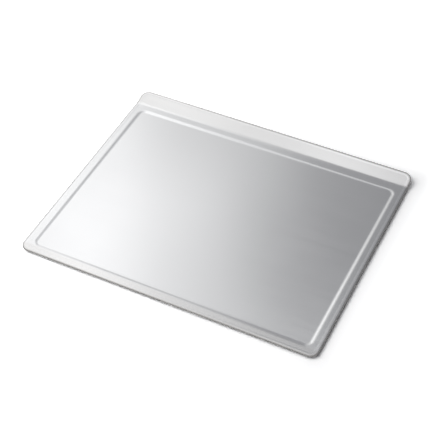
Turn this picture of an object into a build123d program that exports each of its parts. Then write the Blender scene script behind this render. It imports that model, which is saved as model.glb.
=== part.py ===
from build123d import *
from math import cos, radians, sin, tan
import os

os.makedirs("parts", exist_ok=True)

# An air-insulated cookie sheet, in millimetres. A thin baking sheet lies over a base sheet
# with air between them, and the baking sheet's edge is folded under the base sheet's edge.
# The origin is on the table under the middle. X runs along the lip, and the lip is at +Y.

# Overall sizes: level width and depth over the folded edge, and the table to the rim's top.
sheet_width = 406.0
sheet_depth = 330.0
rim_height = 4.8
corner_radius = 11.5

# Gauges of the two sheets, and the hem that holds them together. The gap is the slack
# between the layers, and the return is how far the hem reaches in under the rim.
baking_gauge = 0.6
base_gauge = 0.5
seam_gap = 0.1
hem_return = 5.0

# The lip, measured up its slope from where the rim's top face would meet it.
lip_length = 23.0
lip_angle = 15.0
lip_bend_radius = 18.5

# The baking panel, below the rim. Insets run from the outer edge, or from the lip, to the
# middle of the step round the panel, and bend radii are those of the metal's middle.
panel_drop = 0.75
panel_side_inset = 13.4
panel_front_inset = 13.4
panel_lip_inset = 12.0
panel_corner_radius = 8.5
panel_bend_radius = 16.0
panel_slope_angle = 12.0

# The base sheet's pan, whose floor rests on the table.
pan_inset = 9.7
pan_lip_inset = 8.0
pan_corner_radius = 8.0
pan_bend_radius = 2.0
pan_slope_angle = 60.0

# Spacers: dimples pressed up from the pan's floor to just under the baking panel.
dimple_diameter = 12.0
dimple_bend_radius = 2.0
dimple_slope_angle = 45.0
dimple_columns = 5
dimple_rows = 4

# Level metal beside each pressed slope, before the flat sheet goes on.
step_land = 1.0


def left_of(start, finish):
    """Unit vector that points to the left of the way from start to finish."""
    way = (Vector(*finish) - Vector(*start)).normalized()
    return Vector(-way.Y, way.X)


def route_beside(route, shift):
    """Corners of the line that runs beside a route, at a constant shift to its left."""
    sides = [left_of(start, finish) for start, finish in zip(route, route[1:])]
    before = sides[:1] + sides
    after = sides + sides[-1:]
    return [
        Vector(*corner) + (first + second) * (shift / (1 + first.dot(second)))
        for corner, first, second in zip(route, before, after)
    ]


def radii_beside(route, radius, shift):
    """Bend radii beside a route: smaller on the inside of each turn, larger outside."""
    sides = [left_of(start, finish) for start, finish in zip(route, route[1:])]
    turns = [first.cross(second).Z for first, second in zip(sides, sides[1:])]
    return [radius - shift if turn > 0 else radius + shift for turn in turns]


def draw_strip(route, radius, gauge):
    """Draw the closed edge of bent metal of one gauge, whose middle follows the route."""
    half = gauge / 2
    left_side = FilletPolyline(*route_beside(route, half), radius=radii_beside(route, radius, half))
    right_side = FilletPolyline(*route_beside(route, -half), radius=radii_beside(route, radius, -half))
    Line(left_side @ 0, right_side @ 0)
    Line(left_side @ 1, right_side @ 1)


def slope_reach(drop, slope_angle):
    """Level distance that a slope covers while it drops."""
    return drop / tan(radians(slope_angle))


def bend_reach(radius, slope_angle):
    """Level distance from a bend's corner to where its curve ends, with the land beside it."""
    return radius * tan(radians(slope_angle) / 2) + step_land


def step_half_run(drop, radius, slope_angle):
    """Half of the level distance across a rounded step and its lands."""
    return slope_reach(drop, slope_angle) / 2 + bend_reach(radius, slope_angle)


def step_route(drop, radius, slope_angle):
    """Corners of a step's middle line about its own centre, from the outside inwards."""
    end = step_half_run(drop, radius, slope_angle)
    corner = slope_reach(drop, slope_angle) / 2
    return [(end, drop / 2), (corner, drop / 2), (-corner, -drop / 2), (-end, -drop / 2)]


def rectangle_corners(width, depth, centre):
    """Corners of a level rectangle, anticlockwise from the front left."""
    front = centre - depth / 2
    back = centre + depth / 2
    return [(-width / 2, front), (width / 2, front), (width / 2, back), (-width / 2, back)]


def section_plane(path):
    """Plane across a path's start: local x points out of the object and local y points up."""
    tangent = path % 0
    outward = tangent.cross(Vector(0, 0, 1))
    return Plane(origin=path @ 0, x_dir=outward, z_dir=-tangent)


# The hem is folded about a line that runs round the object, in the middle of the base
# sheet's edge. The seam route is that line's side view, from the front to the lip's end.
hem_bore_radius = base_gauge / 2 + seam_gap
hem_radius = hem_bore_radius + baking_gauge
fold_corner_radius = corner_radius - hem_radius
fold_half_width = sheet_width / 2 - hem_radius
fold_front = -sheet_depth / 2 + hem_radius
fold_back = sheet_depth / 2 - hem_radius
seam_height = rim_height - hem_radius
lip_bend = radians(lip_angle)
lip_reach = (lip_length - hem_radius) * cos(lip_bend)
lip_rise = (lip_length - hem_radius) * sin(lip_bend)
lip_start = fold_back - lip_reach
lip_top = seam_height + lip_rise
seam_bend_radius = lip_bend_radius + hem_radius
seam_route = [(fold_front, seam_height), (lip_start, seam_height), (fold_back, lip_top)]

# The baking sheet's middle runs beside the seam, and its panel lies inside the step.
baking_shift = hem_bore_radius + baking_gauge / 2
baking_route = route_beside(seam_route, baking_shift)
rim_lip_line = lip_start - hem_radius * tan(lip_bend / 2)
panel_width = sheet_width - 2 * panel_side_inset
panel_front = -sheet_depth / 2 + panel_front_inset
panel_back = rim_lip_line - panel_lip_inset
panel_depth = panel_back - panel_front
panel_centre = (panel_front + panel_back) / 2
panel_underside = rim_height - panel_drop - baking_gauge
panel_step_middle = rim_height - (baking_gauge + panel_drop) / 2
panel_reach = step_half_run(panel_drop, panel_bend_radius, panel_slope_angle)
panel_outline = rectangle_corners(panel_width, panel_depth, panel_centre)

# The base sheet's pan, and the spacers that stand in it under the baking panel.
pan_drop = seam_height - base_gauge / 2
pan_width = sheet_width - 2 * pan_inset
pan_front = -sheet_depth / 2 + pan_inset
pan_back = rim_lip_line - pan_lip_inset
pan_depth = pan_back - pan_front
pan_centre = (pan_front + pan_back) / 2
pan_step_middle = (seam_height + base_gauge / 2) / 2
pan_reach = step_half_run(pan_drop, pan_bend_radius, pan_slope_angle)
pan_outline = rectangle_corners(pan_width, pan_depth, pan_centre)
dimple_height = panel_underside - base_gauge - seam_gap
dimple_radius = dimple_diameter / 2
dimple_foot = dimple_radius - bend_reach(dimple_bend_radius, dimple_slope_angle)
dimple_shoulder = dimple_foot - slope_reach(dimple_height, dimple_slope_angle)
dimple_crown = base_gauge / 2 + dimple_height

with BuildPart() as baking_sheet:
    # The rim and the lip are one bent plate, which ends at the fold and has round corners.
    with BuildSketch(Plane.YZ):
        with BuildLine():
            draw_strip(baking_route, seam_bend_radius - baking_shift, baking_gauge)
        make_face()
    extrude(amount=fold_half_width, both=True)
    front_end = baking_sheet.faces().sort_by(Axis.Y)[0]
    lip_end = baking_sheet.faces().sort_by(Axis.Y)[-1]
    corner_edges = (front_end.edges() + lip_end.edges()).filter_by(Axis.X, reverse=True)
    fillet(corner_edges, radius=fold_corner_radius)

    # The rim is open where the panel is, and the panel lies lower.
    with BuildSketch(Plane.XY.offset(rim_height - baking_gauge)):
        with Locations((0, panel_centre)):
            RectangleRounded(
                panel_width + 2 * panel_reach,
                panel_depth + 2 * panel_reach,
                panel_corner_radius + panel_reach,
            )
    extrude(amount=baking_gauge, mode=Mode.SUBTRACT)
    with BuildSketch(Plane.XY.offset(panel_underside)):
        with Locations((0, panel_centre)):
            RectangleRounded(
                panel_width - 2 * panel_reach,
                panel_depth - 2 * panel_reach,
                panel_corner_radius - panel_reach,
            )
    extrude(amount=baking_gauge)

    # The step joins them: one rounded section carried round the panel.
    with BuildLine(Plane.XY.offset(panel_step_middle)) as panel_step_path:
        FilletPolyline(*panel_outline, radius=panel_corner_radius, close=True)
    with BuildSketch(section_plane(panel_step_path.line)):
        with BuildLine():
            draw_strip(
                step_route(panel_drop, panel_bend_radius, panel_slope_angle),
                panel_bend_radius,
                baking_gauge,
            )
        make_face()
    sweep(path=panel_step_path.line)

    # The hem: a half round outside the fold, and the flat return that lies under the seam.
    fold_corners = [
        (-fold_half_width, fold_front, seam_height),
        (fold_half_width, fold_front, seam_height),
        (fold_half_width, lip_start, seam_height),
        (fold_half_width, fold_back, lip_top),
        (-fold_half_width, fold_back, lip_top),
        (-fold_half_width, lip_start, seam_height),
    ]
    fold_radii = [
        fold_corner_radius,
        fold_corner_radius,
        seam_bend_radius,
        fold_corner_radius,
        fold_corner_radius,
        seam_bend_radius,
    ]
    with BuildLine() as fold_path:
        FilletPolyline(*fold_corners, radius=fold_radii, close=True)
    return_reach = hem_return - hem_radius
    with BuildSketch(section_plane(fold_path.line)):
        with BuildLine():
            Line((0, hem_bore_radius), (0, hem_radius))
            CenterArc((0, 0), hem_radius, start_angle=90, arc_size=-180)
            Line((0, -hem_radius), (-return_reach, -hem_radius))
            Line((-return_reach, -hem_radius), (-return_reach, -hem_bore_radius))
            Line((-return_reach, -hem_bore_radius), (0, -hem_bore_radius))
            CenterArc((0, 0), hem_bore_radius, start_angle=-90, arc_size=180)
        make_face()
    sweep(path=fold_path.line)

with BuildPart() as spacer_dimple:
    # One spacer, turned about the upright axis. The pan's floor is cut away for each.
    with BuildSketch(Plane.XZ):
        with BuildLine():
            draw_strip(
                [
                    (dimple_radius, base_gauge / 2),
                    (dimple_foot, base_gauge / 2),
                    (dimple_shoulder, dimple_crown),
                    (0, dimple_crown),
                ],
                dimple_bend_radius,
                base_gauge,
            )
        make_face()
    revolve(axis=Axis.Z)

with BuildPart() as base_sheet:
    # The flange lies inside the hem and runs up under the lip.
    with BuildSketch(Plane.YZ):
        with BuildLine():
            draw_strip(seam_route, seam_bend_radius, base_gauge)
        make_face()
    extrude(amount=fold_half_width, both=True)
    front_end = base_sheet.faces().sort_by(Axis.Y)[0]
    lip_end = base_sheet.faces().sort_by(Axis.Y)[-1]
    corner_edges = (front_end.edges() + lip_end.edges()).filter_by(Axis.X, reverse=True)
    fillet(corner_edges, radius=fold_corner_radius)

    # The flange is open over the pan, whose floor lies on the table.
    with BuildSketch(Plane.XY.offset(seam_height - base_gauge / 2)):
        with Locations((0, pan_centre)):
            RectangleRounded(
                pan_width + 2 * pan_reach,
                pan_depth + 2 * pan_reach,
                pan_corner_radius + pan_reach,
            )
    extrude(amount=base_gauge, mode=Mode.SUBTRACT)
    with BuildSketch():
        with Locations((0, pan_centre)):
            RectangleRounded(
                pan_width - 2 * pan_reach,
                pan_depth - 2 * pan_reach,
                pan_corner_radius - pan_reach,
            )
    extrude(amount=base_gauge)

    # The pan's wall joins them.
    with BuildLine(Plane.XY.offset(pan_step_middle)) as pan_step_path:
        FilletPolyline(*pan_outline, radius=pan_corner_radius, close=True)
    with BuildSketch(section_plane(pan_step_path.line)):
        with BuildLine():
            draw_strip(
                step_route(pan_drop, pan_bend_radius, pan_slope_angle),
                pan_bend_radius,
                base_gauge,
            )
        make_face()
    sweep(path=pan_step_path.line)

    # The spacers stand in an even grid over the pan's floor.
    dimple_grid = GridLocations(
        pan_width / dimple_columns, pan_depth / dimple_rows, dimple_columns, dimple_rows
    )
    with Locations((0, pan_centre)):
        with dimple_grid:
            Hole(dimple_radius, depth=base_gauge)
            add(spacer_dimple.part)

baking_sheet.part.label = "baking_sheet"
export_step(baking_sheet.part, "parts/baking_sheet.step")

base_sheet.part.label = "base_sheet"
export_step(base_sheet.part, "parts/base_sheet.step")
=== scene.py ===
import math
from collections import namedtuple

import bpy
import numpy as np
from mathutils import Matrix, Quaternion, Vector


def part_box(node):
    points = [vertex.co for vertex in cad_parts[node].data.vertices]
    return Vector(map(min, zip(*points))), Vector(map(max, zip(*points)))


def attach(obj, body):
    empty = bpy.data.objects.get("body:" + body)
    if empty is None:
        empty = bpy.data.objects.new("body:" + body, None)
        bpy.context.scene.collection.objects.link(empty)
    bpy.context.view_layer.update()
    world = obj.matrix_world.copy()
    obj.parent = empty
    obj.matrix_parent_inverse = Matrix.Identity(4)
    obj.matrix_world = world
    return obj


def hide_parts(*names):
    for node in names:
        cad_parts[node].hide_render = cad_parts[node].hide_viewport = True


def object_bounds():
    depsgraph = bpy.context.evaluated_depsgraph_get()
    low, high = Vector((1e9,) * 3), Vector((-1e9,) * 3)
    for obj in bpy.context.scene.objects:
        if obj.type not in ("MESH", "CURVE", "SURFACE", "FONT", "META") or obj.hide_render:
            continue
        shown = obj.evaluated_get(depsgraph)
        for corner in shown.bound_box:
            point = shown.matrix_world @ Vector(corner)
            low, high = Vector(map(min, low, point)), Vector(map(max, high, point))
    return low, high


bl_info = {
    "name": "Insulated Cookie Sheet",
    "version": (1, 0, 0),
    "blender": (4, 5, 0),
    "location": "3D View > Sidebar > Cookie Sheet",
    "description": "Dresses a double-walled cookie sheet in rolled aluminium and lights it",
    "category": "Object",
}

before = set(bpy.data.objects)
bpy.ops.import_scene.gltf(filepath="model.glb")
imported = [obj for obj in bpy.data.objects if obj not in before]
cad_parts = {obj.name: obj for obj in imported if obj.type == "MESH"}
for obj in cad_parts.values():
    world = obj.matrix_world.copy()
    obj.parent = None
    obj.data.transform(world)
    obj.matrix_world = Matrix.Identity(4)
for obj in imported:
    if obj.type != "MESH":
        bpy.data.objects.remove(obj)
CAD_LOW, CAD_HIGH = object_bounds()
BAKING_LOW, BAKING_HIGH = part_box("baking_sheet")
BODY = "root"

# Where the crown over the hem is at its full height, starts to fall and has ended, in shares of
# the hem's return from the fold line inwards.
CROWN_RISEN = 0.36
CROWN_FALLS = 0.5
CROWN_ENDED = 0.92

# Distance between the rows of points that keep a raw edge crisp, as a share of the gauge.
BURR_SHARE = 0.125

# How many closely spaced rows of points the flat metal has beside a pressed step.
CLOSE_ROWS = 3

# A point nearer to a dimple's centre than this share of its radius has no outward direction.
CENTRE_SHARE = 0.001

# How far the metal's tone and roughness swing to each side, and the noise that swings them so far.
TONE_SWING = 0.02
ROUGHNESS_SWING = 0.02
NOISE_LOW, NOISE_HIGH = 0.3, 0.7
BROAD_SHARE = 0.5
GRAIN_STRENGTH = 0.5

# The camera's sensor in millimetres, and the distance in metres past which it sees no floor.
SENSOR_WIDTH = 36.0
VIEW_LIMIT = 20.0

# A level rounded rectangle, or a row of them: half its width, its front and back edges in y, and
# its corner radius.
Outline = namedtuple("Outline", "half_width front back radius")
# Where the points of a ring stand on any outline, as loop_layout gives it.
Layout = namedtuple("Layout", "mid_x mid_y out_x out_y front_steps side_steps")
# The middle line of a pressed step, from its low side outwards.
Curve = namedtuple("Curve", "reach height slope")


def length(name, description, default=0.0):
    """Property for a length in metres."""
    return bpy.props.FloatProperty(name=name, description=description, default=default, unit="LENGTH")


def angle(name, description, degrees=0.0):
    """Property for an angle, whose default is given in degrees."""
    return bpy.props.FloatProperty(
        name=name, description=description, default=math.radians(degrees), subtype="ANGLE"
    )


def amount(name, description, default, **limits):
    """Property for a plain number."""
    return bpy.props.FloatProperty(name=name, description=description, default=default, **limits)


def count(name, description, default):
    """Property for a number of like features."""
    return bpy.props.IntProperty(name=name, description=description, default=default, min=1)


def colour(name, description, default):
    """Property for a surface's colour or for the light of a part of the surround."""
    return bpy.props.FloatVectorProperty(
        name=name, description=description, default=default, subtype="COLOR", min=0.0, max=1.0
    )


def pair(name, description, default, unit="NONE"):
    """Property for two numbers that belong together."""
    return bpy.props.FloatVectorProperty(
        name=name, description=description, default=default, size=2, unit=unit
    )


class SheetSizes(bpy.types.PropertyGroup):
    """Real sizes of the two formed sheets."""

    width: length(
        "Width", "Level width along the lip, over the folded edge", BAKING_HIGH.x - BAKING_LOW.x
    )
    depth: length(
        "Depth", "Level depth from the front edge to the lip's back edge", BAKING_HIGH.y - BAKING_LOW.y
    )
    rim_height: length("Rim height", "Table to the rim's top face", 0.0048)
    corner_radius: length("Corner radius", "Plan radius of the four outer corners", 0.0115)
    baking_gauge: length("Baking sheet gauge", "Thickness of the upper sheet", 0.0006)
    base_gauge: length("Base sheet gauge", "Thickness of the lower sheet", 0.0005)
    seam_gap: length("Seam gap", "Slack between the layers of the hem", 0.0001)
    hem_return: length("Hem return", "How far the folded edge reaches in under the rim", 0.005)
    hem_crown: length("Hem crown", "How far the rim bulges up over the folded edge", 0.00007)
    # Painted shade: the folded edge is darkened in its colour over this width. The darkening stands in for
    # the hem's dark reflection and the shadow under the rim.
    fold_shade_width: length(
        "Fold shade width", "How far in from the outer edge the folded metal is duller", 0.0026
    )
    lip_length: length(
        "Lip length", "Up the lip's slope, from the rim's top face to the lip's edge", 0.023
    )
    lip_angle: angle("Lip angle", "Slope of the lip above level", 15.0)
    lip_bend_radius: length("Lip bend radius", "Radius of the bend at the rim's top face", 0.0185)
    panel_drop: length("Panel drop", "How far the baking panel lies below the rim", 0.00075)
    panel_side_inset: length(
        "Panel side inset", "Outer edge to the middle of the step, at the sides", 0.0134
    )
    panel_front_inset: length(
        "Panel front inset", "Outer edge to the middle of the step, at the front", 0.0134
    )
    panel_lip_inset: length("Panel lip inset", "Lip's bend line to the middle of the step", 0.012)
    panel_corner_radius: length("Panel corner radius", "Plan radius of the step's middle line", 0.0085)
    panel_bend_radius: length(
        "Panel bend radius", "Radius of the step's two bends, at the metal's middle", 0.016
    )
    panel_slope_angle: angle("Panel slope angle", "Steepest slope of the step", 12.0)
    pan_inset: length("Pan inset", "Outer edge to the middle of the base sheet's wall", 0.0097)
    pan_lip_inset: length(
        "Pan lip inset", "Lip's bend line to the middle of the base sheet's back wall", 0.008
    )
    pan_corner_radius: length("Pan corner radius", "Plan radius of the base sheet's wall", 0.008)
    pan_bend_radius: length(
        "Pan bend radius", "Radius of the wall's two bends, at the metal's middle", 0.002
    )
    pan_slope_angle: angle("Pan slope angle", "Steepest slope of the base sheet's wall", 60.0)
    dimple_diameter: length("Dimple diameter", "Spacer dimple over its foot", 0.012)
    dimple_bend_radius: length(
        "Dimple bend radius", "Radius of the dimple's foot and shoulder, at the metal's middle", 0.002
    )
    dimple_slope_angle: angle("Dimple slope angle", "Steepest slope of a dimple", 45.0)
    dimple_columns: count("Dimple columns", "Spacer dimples along the lip", 5)
    dimple_rows: count("Dimple rows", "Spacer dimples from front to back", 4)
    step_land: length("Step land", "Level metal beside each pressed slope", 0.001)


class FinishSettings(bpy.types.PropertyGroup):
    """Colours and polish of the two sheets."""

    baking_tone: colour(
        "Baking sheet", "Reflected colour of the rolled upper sheet", (0.832, 0.835, 0.842)
    )
    baking_roughness: amount(
        "Baking sheet roughness", "Middle roughness of the satin face", 0.25, min=0.0, max=1.0
    )
    base_tone: colour(
        "Base sheet", "Reflected colour of the mill-finished lower sheet", (0.74, 0.745, 0.755)
    )
    base_roughness: amount(
        "Base sheet roughness", "Middle roughness of the mill finish", 0.42, min=0.0, max=1.0
    )
    # Painted shade: a dark colour along the folded edge that stands in for the hem's dark reflection and
    # the shadow under the rim.
    fold_shade_tone: colour(
        "Folded edge",
        "Colour that multiplies the baking sheet's own along its folded edge",
        (0.385, 0.376, 0.362),
    )
    handled_tone: colour(
        "Handled metal",
        "Colour that multiplies the baking sheet's own on its lip and front rim",
        (0.938, 0.93, 0.919),
    )
    fine_lines: pair(
        "Fine lines", "Length and width of the mill's fine lines", (0.08, 0.0024), unit="LENGTH"
    )
    broad_lines: pair(
        "Broad lines", "Length and width of the mill's broad streaks", (0.3, 0.012), unit="LENGTH"
    )
    haze_size: length("Haze size", "Size of the cloudy patches that handling leaves", 0.07)


class SoftboxSettings(bpy.types.PropertyGroup):
    """One rectangular soft lamp. The inherited name is the lamp's own."""

    azimuth: angle("Azimuth", "Turn from the sheet's right side towards its back")
    elevation: angle("Elevation", "Height above level")
    distance: length("Distance", "Lamp to the middle of the sheet's underside", 1.2)
    size: pair("Size", "Width and height of the lamp's face", (1.0, 1.0), unit="LENGTH")
    spin: angle("Spin", "Turn of the lamp about its own axis")
    radiance: amount("Brightness", "Brightness of the lamp's face", 0.5, min=0.0)
    mirrored: bpy.props.BoolProperty(
        name="Mirrored",
        description="Whether the metal mirrors the lamp, as well as being lit by it",
        default=True,
    )


class StageSettings(bpy.types.PropertyGroup):
    """Floor, lamps, surround and camera.

    A span of the surround has two parts of a direction, each from -1 to 1 along one axis: where
    the change starts, and where it is full. Right is X, back is Y and up is Z.
    """

    floor_tone: colour("Floor", "Colour of the floor", (0.9, 0.9, 0.9))
    floor_size: length("Floor size", "Side of the square floor", 40.0)
    floor_lift: amount(
        "Floor lift", "How much brighter the floor shows in the view and in reflections", 1.5, min=1.0
    )
    shadow_start: length(
        "Shadow start", "Distance from the outline at which the floor's shadows start to fade", 0.008
    )
    shadow_reach: length(
        "Shadow reach", "Distance from the outline past which the floor is plain white", 0.08
    )
    lamps: bpy.props.CollectionProperty(
        name="Softboxes", description="The soft lamps round the sheet", type=SoftboxSettings
    )
    surround_dim: colour(
        "Surround middle", "Light of the surround's dim middle, a little cool", (0.274, 0.277, 0.289)
    )
    surround_left: colour(
        "Surround left", "Light of the surround's bright left side", (0.549, 0.549, 0.549)
    )
    surround_right: colour("Surround right", "Light of the surround's right side", (0.416, 0.42, 0.43))
    surround_front_low: colour(
        "Surround front, low", "Mirrored light, low down at the front right", (0.36, 0.36, 0.36)
    )
    surround_front_high: colour(
        "Surround front, high", "Mirrored light, high up at the front right", (0.85, 0.85, 0.85)
    )
    left_span: pair("Left span", "Along X, to the surround's bright left side", (-0.15, -0.45))
    left_rise_span: pair("Left rise span", "Along Z, from the dim horizon up the left side", (0.25, 0.55))
    right_span: pair("Right span", "Along X, to the surround's right side", (0.1, 0.75))
    front_span: pair("Front span", "Along Y, to the surround's front", (0.2, -0.3))
    front_right_span: pair("Front right span", "Along X, to the right part of the front", (-0.3, 0.1))
    front_rise_span: pair("Front rise span", "Along Z, from low to high at the front right", (0.1, 0.8))
    shade_span: pair("Shade span", "Along X, as the light on the floor falls to its share", (0.0, 0.3))
    shade_share: amount(
        "Shade share", "Light that the surround's right side throws on the floor", 0.1, min=0.0, max=1.0
    )
    camera_azimuth: angle(
        "Camera azimuth", "Turn of the camera round the sheet from straight in front", 27.587
    )
    camera_elevation: angle("Camera elevation", "Height of the camera above level", 46.353)
    camera_roll: angle("Camera roll", "Tilt of the camera about its own line of sight", -1.669)
    camera_distance: length("Camera distance", "Camera to the point that it looks at", 1.5127)
    camera_target: bpy.props.FloatVectorProperty(
        name="Camera target",
        description="Point in the middle of the view",
        default=(0.00014, -0.01135, 0.00526),
        subtype="XYZ",
        unit="LENGTH",
    )
    camera_lens: amount("Camera lens", "Focal length in millimetres", 97.455, min=1.0)


class Shape:
    """Lengths and outlines that follow from the sheet's sizes.

    Heights of the blank are above the seam, which is the middle of the base sheet's flange. The
    outlines lie on the level blank: fold is the centre line of the hem's half circle, panel the
    middle of the pressed step and pan the middle of the base sheet's wall. The lip's bend starts
    one tangent length, radius * tan(angle / 2), before the corner of its two straight parts.
    """

    def __init__(self, sizes):
        self.hem_bore = sizes.base_gauge / 2 + sizes.seam_gap
        self.hem_radius = self.hem_bore + sizes.baking_gauge
        self.seam_height = sizes.rim_height - self.hem_radius
        self.lip_angle = sizes.lip_angle
        self.bend_radius = sizes.lip_bend_radius + self.hem_radius
        slope_length = sizes.lip_length - self.hem_radius
        bend_tangent = self.bend_radius * math.tan(sizes.lip_angle / 2)
        plan_back = BAKING_LOW.y + sizes.depth - self.hem_radius
        bend_corner = plan_back - slope_length * math.cos(sizes.lip_angle)
        self.bend_start = bend_corner - bend_tangent
        self.bend_end = self.bend_start + self.bend_radius * sizes.lip_angle
        lip_line = bend_corner - self.hem_radius * math.tan(sizes.lip_angle / 2)
        self.fold = Outline(
            sizes.width / 2 - self.hem_radius,
            BAKING_LOW.y + self.hem_radius,
            self.bend_end + slope_length - bend_tangent,
            sizes.corner_radius - self.hem_radius,
        )
        self.panel = Outline(
            sizes.width / 2 - sizes.panel_side_inset,
            BAKING_LOW.y + sizes.panel_front_inset,
            lip_line - sizes.panel_lip_inset,
            sizes.panel_corner_radius,
        )
        self.pan = Outline(
            sizes.width / 2 - sizes.pan_inset,
            BAKING_LOW.y + sizes.pan_inset,
            lip_line - sizes.pan_lip_inset,
            sizes.pan_corner_radius,
        )
        self.pan_drop = self.seam_height - sizes.base_gauge / 2
        panel_underside = sizes.rim_height - sizes.panel_drop - sizes.baking_gauge
        self.dimple_height = panel_underside - sizes.base_gauge - sizes.seam_gap


def step_curve(drop, radius, slope_angle, land, bend_points=9):
    """Middle line of a rounded step, from the low side outwards to the high side.

    Each bend is a circle arc of the given radius, and a straight slope joins the arcs. Along an
    arc the height follows radius * (1 - cos(turn)) and the reach follows radius * sin(turn),
    where turn is the slope there. Reach and height are measured from the step's centre. A land
    of level metal follows on each side, with one row of points at a third of it.
    """
    turn = np.linspace(0.0, slope_angle, bend_points)
    foot_reach = drop / math.tan(slope_angle) / 2 + radius * math.tan(slope_angle / 2)
    foot_x = radius * np.sin(turn) - foot_reach
    foot_z = radius * (1 - np.cos(turn)) - drop / 2
    low_land = np.array([-foot_reach - land, -foot_reach - land / 3])
    level = np.full(2, drop / 2)
    flat = np.zeros(2)
    return Curve(
        np.concatenate([low_land, foot_x, -foot_x[::-1], -low_land[::-1]]),
        np.concatenate([-level, foot_z, -foot_z[::-1], level]),
        np.concatenate([flat, turn, turn[::-1], flat]),
    )


def loop_layout(across, along, corner_steps):
    """Where the points of a ring stand on any outline.

    A point is the centre of a corner circle, or a place between two of those centres, plus
    the corner radius along a unit direction. across and along place the points of the
    straight sides, from 0 to 1. Gives the places of the centres in x (-1 to 1) and y
    (0 to 1), the unit directions, and the number of steps along the front and up a side.
    """
    opening = np.linspace(-math.pi / 4, 0.0, corner_steps, endpoint=False)

    def side(places, facing):
        place = np.concatenate([np.zeros(corner_steps), places, np.ones(corner_steps)])
        turn = np.concatenate([opening, np.zeros(len(places)), -opening[::-1]]) + facing
        return place[:-1], turn[:-1]

    front, front_turn = side(across, -math.pi / 2)
    right, right_turn = side(along, 0.0)
    back, back_turn = side(1 - across[::-1], math.pi / 2)
    left, left_turn = side(1 - along[::-1], math.pi)
    mid_x = np.concatenate([2 * front - 1, np.ones(len(right)), 1 - 2 * back, -np.ones(len(left))])
    mid_y = np.concatenate([np.zeros(len(front)), right, np.ones(len(back)), 1 - left])
    turn = np.concatenate([front_turn, right_turn, back_turn, left_turn])
    return Layout(mid_x, mid_y, np.cos(turn), np.sin(turn), len(front), len(right))


def rings(layout, outline, height):
    """Points of level outlines, one ring for each entry of the outline's values and the height."""
    half_width, front, back, radius, height = (
        np.atleast_1d(values).astype(float)[:, None] for values in np.broadcast_arrays(*outline, height)
    )
    x = layout.mid_x * (half_width - radius) + radius * layout.out_x
    y = front + radius + layout.mid_y * (back - front - 2 * radius) + radius * layout.out_y
    return np.stack([x, y, np.broadcast_to(height, x.shape)], axis=-1)


def grown(outline, reach):
    """The outline grown outwards by reach, or a row of them for a row of reaches."""
    half_width, front, back, radius = outline
    reach = np.asarray(reach, float)
    return Outline(half_width + reach, front - reach, back + reach, radius + reach)


def between(inner, outer, share):
    """The outline a share of the way from an inner one to an outer one."""
    return Outline(*(low + (high - low) * share for low, high in zip(inner, outer)))


def step_rings(layout, outline, curve, middle, shift):
    """Rings on one face of a pressed step, shift along the normal from the metal's middle line."""
    reach = curve.reach - shift * np.sin(curve.slope)
    height = curve.height + shift * np.cos(curve.slope)
    return rings(layout, grown(outline, reach), middle + height)


def square_patch(layout, ring, margin):
    """The sharp rectangle that lies margin inside a ring, and the level grid that fills it.

    The rectangle has a point for each of the ring's points, and the grid's lines run between
    the rectangle's points.
    """
    front_steps, side_steps = layout.front_steps, layout.side_steps
    across = ring[: front_steps + 1, 0]
    along = ring[front_steps : front_steps + side_steps + 1, 1]
    x_low, x_high = ring[:, 0].min() + margin, ring[:, 0].max() - margin
    y_low, y_high = ring[:, 1].min() + margin, ring[:, 1].max() - margin
    x_lines = np.interp(across, [across[0], across[-1]], [x_low, x_high])
    y_lines = np.interp(along, [along[0], along[-1]], [y_low, y_high])
    x = [x_lines[:-1], np.full(side_steps, x_high), x_lines[:0:-1], np.full(side_steps, x_low)]
    y = [np.full(front_steps, y_low), y_lines[:-1], np.full(front_steps, y_high), y_lines[:0:-1]]
    height = ring[0, 2]
    square = np.stack([np.concatenate(x), np.concatenate(y), np.full(len(ring), height)], axis=-1)
    patch = np.stack(np.meshgrid(x_lines, y_lines, [height]), axis=-1)[:, :, 0]
    return square, patch


def with_patches(layout, tube, margin):
    """The tube with a sharp rectangle added at each end, and the two grids that fill these."""
    top_square, top_patch = square_patch(layout, tube[0], margin)
    low_square, low_patch = square_patch(layout, tube[-1], margin)
    return np.concatenate([top_square[None], tube, low_square[None]]), top_patch, low_patch


def smooth_share(values, start, end):
    """Smooth rise from 0 at start to 1 at end: 3 t squared less 2 t cubed."""
    share = np.clip((values - start) / (end - start), 0.0, 1.0)
    return share * share * (3.0 - 2.0 * share)


def inside_distance(points, outline):
    """Distance of level points inwards from an outline."""
    half_width, front, back, radius = outline
    past_x = np.abs(points[..., 0]) - (half_width - radius)
    past_y = np.abs(points[..., 1] - (back + front) / 2) - ((back - front) / 2 - radius)
    corner = np.hypot(np.maximum(past_x, 0.0), np.maximum(past_y, 0.0))
    return radius - corner - np.minimum(np.maximum(past_x, past_y), 0.0)


def crowned(points, outline, sizes):
    """Lift the rim over the folded edge into a low crown.

    The lift is the crown's height times a smooth rise from the outline inwards, less a smooth
    fall to nothing near the end of the folded metal.
    """
    distance = inside_distance(points, outline)
    width = sizes.hem_return
    rise = smooth_share(distance, 0.0, CROWN_RISEN * width)
    fall = smooth_share(distance, CROWN_FALLS * width, CROWN_ENDED * width)
    lifted = points.copy()
    lifted[..., 2] += sizes.hem_crown * (rise - fall)
    return lifted


def edge_shade_share(points, outline, reach):
    """Mask of the painted shade along the folded edge: 1 at the outer edge and 0 from a reach inside it,
    with a smooth fall between.
    """
    return 1.0 - smooth_share(inside_distance(points, outline), 0.0, reach)


def handled_share(points, shape, rim_line, panel_line):
    """1 on the lip and on the front rim, where hands take hold, with a smooth fall to 0 inwards.

    On the lip it rises across the bend. At the front it falls from the rim's inner line to the
    panel's line. The points are those of the level blank.
    """
    along = points[..., 1]
    lip = smooth_share(along, shape.bend_start, shape.bend_end)
    front = 1.0 - smooth_share(along, rim_line, panel_line)
    return np.maximum(lip, front)


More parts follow.
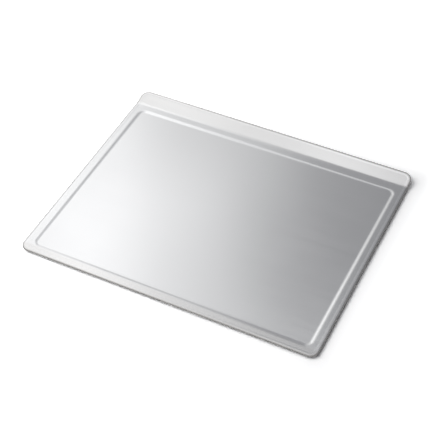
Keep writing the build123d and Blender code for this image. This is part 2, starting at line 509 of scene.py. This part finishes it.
def roll_up_lip(points, shape):
    """Bend the level blank up into the lip.

    The second coordinate is the distance from the front along the seam, and the third is the
    height above the seam. Up to the bend a point stays level. In the bend it turns about an
    axis one bend radius above the seam, by the distance past the bend's start divided by the
    radius. Beyond the bend it goes straight on at the lip's angle.
    """
    x, along, height = points[..., 0], points[..., 1], points[..., 2]
    turn = np.clip((along - shape.bend_start) / shape.bend_radius, 0.0, shape.lip_angle)
    beyond = np.maximum(along - shape.bend_end, 0.0)
    arm = shape.bend_radius - height
    y = np.minimum(along, shape.bend_start) + arm * np.sin(turn) + beyond * np.cos(turn)
    z = shape.seam_height + shape.bend_radius - arm * np.cos(turn) + beyond * np.sin(turn)
    return np.stack([x, y, z], axis=-1)


def closed_sheet(name, layout, shape, tube, top_patch, low_patch, attributes):
    """One closed mesh, bent up into the lip: a tube of rings, and a grid over each open end.

    tube has the shape (rings, points, 3) and runs from the top patch outwards, round the edge
    and back in under the sheet. A patch is an array of rows of points whose border is the
    tube's first or last ring. attributes maps a name to values for the tube's points, which are
    0 on the patches.
    """
    front_steps, side_steps = layout.front_steps, layout.side_steps
    ring_count, ring_points = tube.shape[:2]
    tube_points = ring_count * ring_points
    inner_points = (front_steps - 1) * (side_steps - 1)
    blank = [tube, top_patch[1:-1, 1:-1], low_patch[1:-1, 1:-1]]
    verts = roll_up_lip(np.concatenate([points.reshape(-1, 3) for points in blank]), shape)
    here = np.arange(tube_points).reshape(ring_count, ring_points)
    beside = np.roll(here, -1, axis=1)
    walls = np.stack([here[:-1], here[1:], beside[1:], beside[:-1]], axis=-1).reshape(-1, 4)

    def patch_faces(border, first_inner, facing_up):
        index = np.empty((side_steps + 1, front_steps + 1), int)
        corner = border[0] + np.arange(ring_points + 1) % ring_points
        index[0] = corner[: front_steps + 1]
        index[:, -1] = corner[front_steps : front_steps + side_steps + 1]
        index[-1, ::-1] = corner[front_steps + side_steps : 2 * front_steps + side_steps + 1]
        index[::-1, 0] = corner[2 * front_steps + side_steps :]
        inner = np.arange(inner_points).reshape(side_steps - 1, front_steps - 1)
        index[1:-1, 1:-1] = first_inner + inner
        quad = [index[:-1, :-1], index[:-1, 1:], index[1:, 1:], index[1:, :-1]]
        return np.stack(quad if facing_up else quad[::-1], axis=-1).reshape(-1, 4)

    faces = np.concatenate([
        walls,
        patch_faces(here[0], tube_points, True),
        patch_faces(here[-1], tube_points + inner_points, False),
    ])
    mesh = bpy.data.meshes.new(name)
    mesh.vertices.add(len(verts))
    mesh.vertices.foreach_set("co", verts.astype(np.float32).ravel())
    mesh.loops.add(faces.size)
    mesh.loops.foreach_set("vertex_index", faces.astype(np.int32).ravel())
    mesh.polygons.add(len(faces))
    mesh.polygons.foreach_set("loop_start", np.arange(0, faces.size, 4, dtype=np.int32))
    mesh.polygons.foreach_set("use_smooth", np.ones(len(faces), bool))
    mesh.update(calc_edges=True)
    for key, tube_values in attributes.items():
        values = np.concatenate([tube_values.ravel(), np.zeros(2 * inner_points)])
        attribute = mesh.attributes.new(key, "FLOAT", "POINT")
        attribute.data.foreach_set("value", values.astype(np.float32))
    mesh.validate()
    piece = bpy.data.objects.new(name, mesh)
    bpy.context.scene.collection.objects.link(piece)
    return piece


def evenly(low, high, spacing):
    """Even places from low to high, at most spacing apart."""
    return np.linspace(low, high, max(2, int(math.ceil((high - low) / spacing)) + 1))


def rim_shares(shape, inner_back, hem_width, flat_spacing, bend_spacing):
    """Shares of the way from a panel's back edge (0) to the fold (1), without these two ends.

    The places are close together beside the panel, in the lip's bend and over the hem.
    """
    close_end = inner_back + CLOSE_ROWS * bend_spacing
    hem_start = shape.fold.back - hem_width
    places = np.unique(np.concatenate([
        evenly(inner_back, close_end, bend_spacing),
        evenly(close_end, shape.bend_start, flat_spacing),
        evenly(shape.bend_start, shape.bend_end, bend_spacing),
        evenly(shape.bend_end, hem_start, flat_spacing),
        evenly(hem_start, shape.fold.back - bend_spacing, bend_spacing),
        [shape.fold.back],
    ]))
    return ((places - inner_back) / (shape.fold.back - inner_back))[1:-1]


def side_places(shape, coarse, fine):
    """Places up a straight side, from 0 to 1, close together where the lip's bend crosses it."""
    front = shape.fold.front + shape.fold.radius
    back = shape.fold.back - shape.fold.radius
    dense_from = shape.bend_start - coarse
    places = [evenly(front, dense_from, coarse), evenly(dense_from, back, fine)]
    return (np.unique(np.concatenate(places)) - front) / (back - front)


def make_baking_sheet(sizes, shape, across_points=76, fold_points=21):
    """The upper sheet: panel, step, rim, lip and the hem that is folded under.

    Its cross section runs from the panel up the step and over the rim, round a half circle of
    the hem's radius, in along the return, round the raw edge and back the same way inside.
    """
    fold, panel = shape.fold, shape.panel
    along = side_places(shape, coarse=0.005, fine=0.0009)
    layout = loop_layout(np.linspace(0.0, 1.0, across_points), along, corner_steps=9)
    curve = step_curve(sizes.panel_drop, sizes.panel_bend_radius, sizes.panel_slope_angle, sizes.step_land)
    step_middle = shape.hem_bore + (sizes.baking_gauge - sizes.panel_drop) / 2
    rim_line = grown(panel, curve.reach[-1])
    shares = rim_shares(shape, rim_line.back, sizes.hem_return, flat_spacing=0.0024, bend_spacing=0.0006)
    turn = np.linspace(0.0, math.pi, fold_points)
    half = sizes.baking_gauge / 2
    burr = BURR_SHARE * sizes.baking_gauge
    reach = sizes.hem_return - shape.hem_radius
    return_in = -np.array([burr, reach / 3, 2 * reach / 3, reach - 3 * burr, reach - burr])
    raw_edge = -(shape.hem_bore + shape.hem_radius) / 2 + np.array([-2, 0, 2]) * burr

    def rim(shares, height):
        return crowned(rings(layout, between(rim_line, fold, shares), height), fold, sizes)

    def half_circle(radius, turn):
        return rings(layout, grown(fold, radius * np.sin(turn)), radius * np.cos(turn))

    tube = np.concatenate([
        step_rings(layout, panel, curve, step_middle, half),
        rim(shares, shape.hem_radius),
        half_circle(shape.hem_radius, turn),
        rings(layout, grown(fold, return_in), -shape.hem_radius),
        rings(layout, grown(fold, -reach), raw_edge),
        rings(layout, grown(fold, return_in[::-1]), -shape.hem_bore),
        half_circle(shape.hem_bore, turn[::-2]),
        rim(shares[::-1], shape.hem_bore),
        step_rings(layout, panel, curve, step_middle, -half)[::-1],
    ])
    tube, top_patch, low_patch = with_patches(layout, tube, sizes.panel_corner_radius / 2)
    # The fold mask carries painted shade along the folded edge. The handled mask carries the tint of the
    # lip and front rim.
    attributes = {
        "fold": edge_shade_share(tube, grown(fold, shape.hem_radius), sizes.fold_shade_width),
        "handled": handled_share(tube, shape, rim_line.front, panel.front),
    }
    return closed_sheet("baking_sheet_satin", layout, shape, tube, top_patch, low_patch, attributes)


def dimpled(patch, centres, curve, dimple_radius, face_shift):
    """Press round dimples up into a level patch.

    Inside a dimple's circle the metal's middle follows the step curve from the foot up to the
    crown, by the distance from the dimple's centre. The face is moved from that middle along
    its normal, by face_shift, so the metal keeps its gauge.
    """
    reach, height, slope = curve
    offset = patch[..., None, :2] - centres
    distance = np.linalg.norm(offset, axis=-1)
    nearest = np.argmin(distance, axis=-1)[..., None]
    distance = np.take_along_axis(distance, nearest, axis=-1)[..., 0]
    offset = np.take_along_axis(offset, nearest[..., None], axis=-2)[..., 0, :]
    place = dimple_radius - distance - reach[-1]
    rise = np.interp(place, reach, height + height[-1], left=0.0)
    tilt = np.interp(place, reach, slope, left=0.0, right=0.0)
    outwards = offset / np.maximum(distance, CENTRE_SHARE * dimple_radius)[..., None]
    moved = patch.copy()
    moved[..., :2] += outwards * (face_shift * np.sin(tilt))[..., None]
    moved[..., 2] += rise + face_shift * (np.cos(tilt) - 1)
    return moved


def middles(number, low, high):
    """Middles of equal parts of the way from low to high."""
    return (np.arange(number) - (number - 1) / 2) * ((high - low) / number) + (high + low) / 2


def dimple_places(centres, band, low, high, band_points=25, spacing=0.02, clearance=0.004):
    """Places from low to high as shares, close together within a band of each dimple's centre."""
    coarse = evenly(low, high, spacing)
    gap = np.abs(coarse[:, None] - centres).min(axis=1)
    fine = np.linspace(centres - band, centres + band, band_points).ravel()
    places = np.unique(np.concatenate([[low], coarse[gap > band + clearance], fine, [high]]))
    return (places - low) / (high - low)


def make_base_sheet(sizes, shape, bend_points=26):
    """The lower sheet: flange inside the hem, pan wall, and floor with spacer dimples.

    Its cross section runs from the floor up the pan's wall and out along the flange to the raw
    edge inside the fold, and back the same way underneath.
    """
    fold, pan = shape.fold, shape.pan
    dimple_radius = sizes.dimple_diameter / 2
    band = dimple_radius + sizes.step_land
    columns = middles(sizes.dimple_columns, -pan.half_width, pan.half_width)
    rows = middles(sizes.dimple_rows, pan.front, pan.back)
    across = dimple_places(columns, band, -pan.half_width + pan.radius, pan.half_width - pan.radius)
    along = dimple_places(rows, band, pan.front + pan.radius, pan.back - pan.radius)
    bend_from = (shape.bend_start - fold.front) / (fold.back - fold.front)
    along = np.unique(np.concatenate([along, np.linspace(bend_from, 1.0, bend_points)]))
    layout = loop_layout(across, along, corner_steps=8)
    curve = step_curve(shape.pan_drop, sizes.pan_bend_radius, sizes.pan_slope_angle, sizes.step_land)
    middle = -shape.pan_drop / 2
    flange_line = grown(pan, curve.reach[-1])
    shares = rim_shares(shape, flange_line.back, sizes.hem_return, flat_spacing=0.004, bend_spacing=0.002)
    half = sizes.base_gauge / 2
    burr = BURR_SHARE * sizes.base_gauge
    tube = np.concatenate([
        step_rings(layout, pan, curve, middle, half),
        rings(layout, between(flange_line, fold, shares), half),
        rings(layout, grown(fold, -np.array([3, 1]) * burr), half),
        rings(layout, fold, half - np.array([1, 4, 7]) * burr),
        rings(layout, grown(fold, -np.array([1, 3]) * burr), -half),
        rings(layout, between(flange_line, fold, shares[::-1]), -half),
        step_rings(layout, pan, curve, middle, -half)[::-1],
    ])
    tube, top_patch, low_patch = with_patches(layout, tube, sizes.pan_corner_radius / 2)
    centres = np.stack(np.meshgrid(columns, rows), axis=-1).reshape(-1, 2)
    dimple = step_curve(
        shape.dimple_height, sizes.dimple_bend_radius, sizes.dimple_slope_angle, sizes.step_land
    )
    top_patch = dimpled(top_patch, centres, dimple, dimple_radius, half)
    low_patch = dimpled(low_patch, centres, dimple, dimple_radius, -half)
    return closed_sheet("base_sheet_mill", layout, shape, tube, top_patch, low_patch, {})


def add_node(tree, kind, inputs=None, **settings):
    """Add a shader node and return its outputs.

    settings are the node's own choices. inputs maps a socket to a plain value, or to the output
    that is linked to it.
    """
    node = tree.nodes.new("ShaderNode" + kind)
    for key, value in settings.items():
        setattr(node, key, value)
    for key, value in (inputs or {}).items():
        if isinstance(value, bpy.types.NodeSocket):
            tree.links.new(value, node.inputs[key])
        else:
            node.inputs[key].default_value = value
    return node.outputs


def opaque(tone):
    """A colour with its fourth channel."""
    return (*tone, 1.0)


def blend(tree, factor, first, second, data_type="RGBA", **settings):
    """Mix of two values or colours: the first where factor is 0, the second where it is 1."""
    inputs = {"Factor": factor, "A": first, "B": second}
    return add_node(tree, "Mix", inputs, data_type=data_type, **settings)["Result"]


def combined(tree, operation, first, second):
    """Two values put together by a math operation."""
    return add_node(tree, "Math", {0: first, 1: second}, operation=operation)["Value"]


def smooth_change(tree, value, start, full, low=0.0, high=1.0):
    """Smooth change from low at start to high at full: 3 t squared less 2 t cubed between them."""
    inputs = {"Value": value, "From Min": start, "From Max": full, "To Min": low, "To Max": high}
    return add_node(tree, "MapRange", inputs, interpolation_type="SMOOTHSTEP")["Result"]


def shown_share(tree):
    """1 where the camera, a mirror or glass looks at a surface, and 0 where it only gives light."""
    rays = add_node(tree, "LightPath")
    seen = combined(tree, "ADD", rays["Is Camera Ray"], rays["Is Glossy Ray"])
    return combined(tree, "ADD", seen, rays["Is Transmission Ray"])


def empty_material(name):
    """A material whose node tree is empty."""
    material = bpy.data.materials.new(name)
    material.use_nodes = True
    material.node_tree.nodes.clear()
    return material


def noise_group(name, axis_inputs, output, detail):
    """A shader group: noise at the position, divided along X, Y and Z by a size for each.

    axis_inputs names the input that holds the size along each axis.
    """
    group = bpy.data.node_groups.new(name, "ShaderNodeTree")
    group.interface.new_socket("Position", in_out="INPUT", socket_type="NodeSocketVector")
    for label in dict.fromkeys(axis_inputs):
        group.interface.new_socket(label, in_out="INPUT", socket_type="NodeSocketFloat")
    group.interface.new_socket(output, in_out="OUTPUT", socket_type="NodeSocketFloat")
    start = group.nodes.new("NodeGroupInput").outputs
    end = group.nodes.new("NodeGroupOutput").inputs
    sizes = add_node(group, "CombineXYZ", {axis: start[label] for axis, label in zip("XYZ", axis_inputs)})
    operands = {0: start["Position"], 1: sizes["Vector"]}
    scaled = add_node(group, "VectorMath", operands, operation="DIVIDE")["Vector"]
    noise = add_node(group, "TexNoise", {"Vector": scaled, "Scale": 1.0, "Detail": detail})
    group.links.new(noise["Fac"], end[output])


def shader_groups():
    """The two effects that both metals use, made once.

    The grain is the lines that the rolling mill leaves along X. The haze is broad cloudy
    patches, as oven use and wiping leave on bare metal.
    """
    if "Rolled grain" not in bpy.data.node_groups:
        noise_group("Rolled grain", ("Line length", "Line width", "Line width"), "Grain", detail=1.0)
        noise_group("Handling haze", ("Patch size", "Patch size", "Patch size"), "Haze", detail=2.0)
    return bpy.data.node_groups["Rolled grain"], bpy.data.node_groups["Handling haze"]


def metal_material(name, finish, tone, roughness, grain_depth, haze_share, wear_and_shade_tones):
    """Bare rolled aluminium: tone and polish vary with the grain and the haze.

    The tones map the name of a mesh attribute to the colour that multiplies the tone where the attribute
    is 1. One is a real tint of the lip and front rim. The other is painted shade along the folded edge,
    which stands in for dark reflection and shadow.
    """
    material = empty_material(name)
    tree = material.node_tree
    place = add_node(tree, "TexCoord")["Object"]
    grain, haze = shader_groups()

    def lines(sizes):
        line_length, line_width = sizes
        inputs = {"Position": place, "Line length": line_length, "Line width": line_width}
        return add_node(tree, "Group", inputs, node_tree=grain)["Grain"]

    fine = lines(finish.fine_lines)
    both = blend(tree, BROAD_SHARE, fine, lines(finish.broad_lines), "FLOAT")
    haze_inputs = {"Position": place, "Patch size": finish.haze_size}
    patches = add_node(tree, "Group", haze_inputs, node_tree=haze)["Haze"]
    cloud = blend(tree, haze_share, both, patches, "FLOAT")
    darker = [channel * (1 - TONE_SWING) for channel in tone]
    lighter = [min(1.0, channel * (1 + TONE_SWING)) for channel in tone]
    shade = blend(tree, cloud, opaque(darker), opaque(lighter))
    # Multiply in each tone by its mask. These are the real tint of the lip and rim, and the painted shade
    # along the folded edge.
    for attribute, wear_and_shade_tone in wear_and_shade_tones.items():
        wear_and_shade = add_node(tree, "Attribute", attribute_name=attribute)["Fac"]
        shade = blend(tree, wear_and_shade, shade, opaque(wear_and_shade_tone), blend_type="MULTIPLY")
    polish = {
        "Value": cloud,
        "From Min": NOISE_LOW,
        "From Max": NOISE_HIGH,
        "To Min": roughness - ROUGHNESS_SWING,
        "To Max": roughness + ROUGHNESS_SWING,
    }
    relief = {"Strength": GRAIN_STRENGTH, "Distance": grain_depth, "Height": fine}
    surface = {
        "Metallic": 1.0,
        "Base Color": shade,
        "Roughness": add_node(tree, "MapRange", polish)["Result"],
        "Normal": add_node(tree, "Bump", relief)["Normal"],
    }
    metal = add_node(tree, "BsdfPrincipled", surface)["BSDF"]
    add_node(tree, "OutputMaterial", {"Surface": metal})
    return material


def fit_piece(piece, node):
    """Let a piece stand for a node of the frame and ride on the object's one body."""
    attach(piece, BODY)
    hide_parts(node)


class COOKIE_OT_baking_sheet(bpy.types.Operator):
    """Make the upper sheet with its panel, rim, lip and hem"""

    bl_idname = "cookie_sheet.baking_sheet"
    bl_label = "Baking Sheet"

    def execute(self, context):
        sizes = context.scene.cookie_sizes
        finish = context.scene.cookie_finish
        piece = make_baking_sheet(sizes, Shape(sizes))
        metal = metal_material(
            "satin_aluminium",
            finish,
            finish.baking_tone,
            finish.baking_roughness,
            grain_depth=0.000004,
            haze_share=0.35,
            # The fold tone is painted shade along the folded edge. The handled tone is a tint of the lip
            # and front rim.
            wear_and_shade_tones={"fold": finish.fold_shade_tone, "handled": finish.handled_tone},
        )
        piece.data.materials.append(metal)
        fit_piece(piece, "baking_sheet")
        return {"FINISHED"}


class COOKIE_OT_base_sheet(bpy.types.Operator):
    """Make the lower sheet with its flange, pan wall and spacer dimples"""

    bl_idname = "cookie_sheet.base_sheet"
    bl_label = "Base Sheet"

    def execute(self, context):
        sizes = context.scene.cookie_sizes
        finish = context.scene.cookie_finish
        piece = make_base_sheet(sizes, Shape(sizes))
        metal = metal_material(
            "mill_aluminium",
            finish,
            finish.base_tone,
            finish.base_roughness,
            grain_depth=0.000008,
            haze_share=0.5,
            wear_and_shade_tones={},
        )
        piece.data.materials.append(metal)
        fit_piece(piece, "base_sheet")
        return {"FINISHED"}


def make_floor(settings):
    """A flat square floor at the table's height.

    It shows the sheet's shadow near the outline and fades to plain white past it. The distance
    from the outline is the length of what the point's place exceeds the outline's box by.
    """
    half = settings.floor_size / 2
    mesh = bpy.data.meshes.new("floor")
    corners = [(-half, -half, 0.0), (half, -half, 0.0), (half, half, 0.0), (-half, half, 0.0)]
    mesh.from_pydata(corners, [], [(0, 1, 2, 3)])
    floor = bpy.data.objects.new("floor", mesh)
    bpy.context.scene.collection.objects.link(floor)
    material = empty_material("pale_floor")
    tree = material.node_tree
    shown = shown_share(tree)
    lifted = [settings.floor_lift * part for part in settings.floor_tone]
    tone = blend(tree, shown, opaque(settings.floor_tone), opaque(lifted))
    matt = add_node(tree, "BsdfDiffuse", {"Color": tone})["BSDF"]

    def vector_math(operation, *inputs):
        return add_node(tree, "VectorMath", dict(enumerate(inputs)), operation=operation)

    middle = (CAD_LOW + CAD_HIGH) / 2
    middle.z = 0.0
    place = add_node(tree, "TexCoord")["Object"]
    centred = vector_math("SUBTRACT", place, middle)["Vector"]
    folded = vector_math("ABSOLUTE", centred)["Vector"]
    past = vector_math("SUBTRACT", folded, (CAD_HIGH - CAD_LOW) / 2)["Vector"]
    outside = vector_math("MAXIMUM", past)["Vector"]
    distance = vector_math("LENGTH", outside)["Value"]
    white = smooth_change(tree, distance, settings.shadow_start, settings.shadow_reach)
    strength = combined(tree, "MULTIPLY", white, shown)
    glow = add_node(tree, "Emission", {"Strength": strength})["Emission"]
    both = add_node(tree, "AddShader", {0: matt, 1: glow})["Shader"]
    add_node(tree, "OutputMaterial", {"Surface": both})
    mesh.materials.append(material)


def add_softbox(lamp):
    """A rectangular soft lamp that faces the sheet's middle.

    Its power is its brightness times pi times its area.
    """
    light = bpy.data.lights.new(lamp.name, "AREA")
    light.shape = "RECTANGLE"
    light.size, light.size_y = lamp.size
    light.energy = lamp.radiance * math.pi * lamp.size[0] * lamp.size[1]
    outwards = Vector((
        math.cos(lamp.elevation) * math.cos(lamp.azimuth),
        math.cos(lamp.elevation) * math.sin(lamp.azimuth),
        math.sin(lamp.elevation),
    ))
    softbox = bpy.data.objects.new(lamp.name, light)
    softbox.location = lamp.distance * outwards
    softbox.rotation_mode = "QUATERNION"
    level = Quaternion((0.0, 0.0, 1.0), lamp.azimuth + math.pi / 2)
    raised = Quaternion((1.0, 0.0, 0.0), math.pi / 2 - lamp.elevation)
    softbox.rotation_quaternion = level @ raised @ Quaternion((0.0, 0.0, 1.0), lamp.spin)
    softbox.visible_glossy = lamp.mirrored
    bpy.context.scene.collection.objects.link(softbox)


def make_camera(settings):
    """The camera stands at its distance from the target, at its azimuth and elevation."""
    azimuth, elevation = settings.camera_azimuth, settings.camera_elevation
    back = Vector((
        math.sin(azimuth) * math.cos(elevation),
        -math.cos(azimuth) * math.cos(elevation),
        math.sin(elevation),
    ))
    data = bpy.data.cameras.new("camera")
    data.lens = settings.camera_lens
    data.sensor_width = SENSOR_WIDTH
    data.clip_end = VIEW_LIMIT
    camera = bpy.data.objects.new("camera", data)
    camera.location = Vector(settings.camera_target) + back * settings.camera_distance
    camera.rotation_mode = "QUATERNION"
    roll = Quaternion((0.0, 0.0, 1.0), settings.camera_roll)
    camera.rotation_quaternion = (-back).to_track_quat("-Z", "Y") @ roll
    bpy.context.scene.collection.objects.link(camera)
    bpy.context.scene.camera = camera


def make_world(settings):
    """A surround that is brightest on the left and dim behind the sheet.

    Each side is a smooth step in one part of the direction: the left brightens high up, the
    right brightens to a middle grey, and the front right, which only the camera, mirrors and
    glass see, brightens upwards. The right side throws less light on the floor than the metal
    mirrors, so that the shadow beside the sheet stays deep.
    """
    world = bpy.data.worlds.new("studio")
    world.use_nodes = True
    tree = world.node_tree
    place = add_node(tree, "TexCoord")["Generated"]
    toward = add_node(tree, "SeparateXYZ", {"Vector": place})
    shown = shown_share(tree)

    def side(axis, span, *ends):
        return smooth_change(tree, toward[axis], *span, *ends)

    def product(first, second):
        return combined(tree, "MULTIPLY", first, second)

    left = product(side("X", settings.left_span), side("Z", settings.left_rise_span))
    front = product(side("Y", settings.front_span), side("X", settings.front_right_span))
    dim = blend(
        tree,
        side("X", settings.right_span),
        opaque(settings.surround_dim),
        opaque(settings.surround_right),
    )
    front_tone = blend(
        tree,
        side("Z", settings.front_rise_span),
        opaque(settings.surround_front_low),
        opaque(settings.surround_front_high),
    )
    sides = blend(tree, left, dim, opaque(settings.surround_left))
    tone = blend(tree, product(front, shown), sides, front_tone)
    cast = side("X", settings.shade_span, 1.0, settings.shade_share)
    background = tree.nodes["Background"].inputs
    tree.links.new(tone, background["Color"])
    tree.links.new(blend(tree, shown, cast, 1.0, "FLOAT"), background["Strength"])
    bpy.context.scene.world = world


def place_lamps(settings):
    """The softboxes: two keys on the left, one overhead, and others on the left and behind.

    The keys light the floor and the sheet's shadow, but the metal doesn't mirror them.
    """

    def place(name, azimuth, elevation, radiance, distance, size, spin=0.0, mirrored=True):
        lamp = settings.lamps.add()
        lamp.name = name
        lamp.azimuth, lamp.elevation = math.radians(azimuth), math.radians(elevation)
        lamp.spin = math.radians(spin)
        lamp.distance, lamp.size, lamp.radiance, lamp.mirrored = distance, size, radiance, mirrored

    key = {"distance": 1.2, "size": (0.8, 0.8), "mirrored": False}
    small = {"distance": 1.3, "size": (0.45, 0.45)}
    turned = {"distance": 1.591, "size": (0.915, 1.234), "spin": -24.0}
    place("key", azimuth=197.0, elevation=45.0, radiance=1.974, **key)
    place("key_high", azimuth=225.0, elevation=60.0, radiance=1.436, **key)
    place("overhead", azimuth=225.0, elevation=70.0, radiance=0.608, distance=1.3, size=(1.4, 1.4))
    place("left_high", azimuth=200.0, elevation=65.0, radiance=0.748, **small)
    place("left_low", azimuth=160.0, elevation=25.0, radiance=0.368, **small)
    place("back_left", azimuth=147.3, elevation=35.7, radiance=0.515, **turned)
    place("back_middle", azimuth=120.0, elevation=38.0, radiance=0.243, **small)
    place("back_high", azimuth=130.0, elevation=52.0, radiance=0.362, **small)
    place("back_right", azimuth=95.0, elevation=72.0, radiance=0.503, **small)


class COOKIE_OT_stage(bpy.types.Operator):
    """Make the floor, the soft lamps, the surround and the camera"""

    bl_idname = "cookie_sheet.stage"
    bl_label = "Stage"

    def execute(self, context):
        settings = context.scene.cookie_stage
        if not settings.lamps:
            place_lamps(settings)
        make_floor(settings)
        make_world(settings)
        for lamp in settings.lamps:
            add_softbox(lamp)
        make_camera(settings)
        context.scene.view_settings.view_transform = "Standard"
        return {"FINISHED"}


class COOKIE_PT_panel(bpy.types.Panel):
    """Lists the sizes, the finishes and the operators"""

    bl_label = "Cookie Sheet"
    bl_idname = "COOKIE_PT_panel"
    bl_space_type = "VIEW_3D"
    bl_region_type = "UI"
    bl_category = "Cookie Sheet"

    def draw(self, context):
        for group in GROUPS:
            settings = getattr(context.scene, group)
            box = self.layout.box()
            for key in settings.__annotations__:
                if key == "lamps":
                    self.draw_lamps(box, settings.lamps)
                else:
                    box.prop(settings, key)
        for operator in OPERATORS:
            self.layout.operator(operator.bl_idname)

    def draw_lamps(self, layout, lamps):
        for lamp in lamps:
            box = layout.box()
            box.label(text=lamp.name)
            for key in lamp.__annotations__:
                box.prop(lamp, key)


GROUPS = {"cookie_sizes": SheetSizes, "cookie_finish": FinishSettings, "cookie_stage": StageSettings}
OPERATORS = (COOKIE_OT_baking_sheet, COOKIE_OT_base_sheet, COOKIE_OT_stage)
CLASSES = (SoftboxSettings, *GROUPS.values(), *OPERATORS, COOKIE_PT_panel)


def register():
    for cls in CLASSES:
        bpy.utils.register_class(cls)
    for key, group in GROUPS.items():
        setattr(bpy.types.Scene, key, bpy.props.PointerProperty(type=group))


def unregister():
    for key in GROUPS:
        delattr(bpy.types.Scene, key)
    for cls in reversed(CLASSES):
        bpy.utils.unregister_class(cls)


def main():
    register()
    bpy.ops.cookie_sheet.baking_sheet()
    bpy.ops.cookie_sheet.base_sheet()
    bpy.ops.cookie_sheet.stage()


if __name__ == "__main__":
    main()
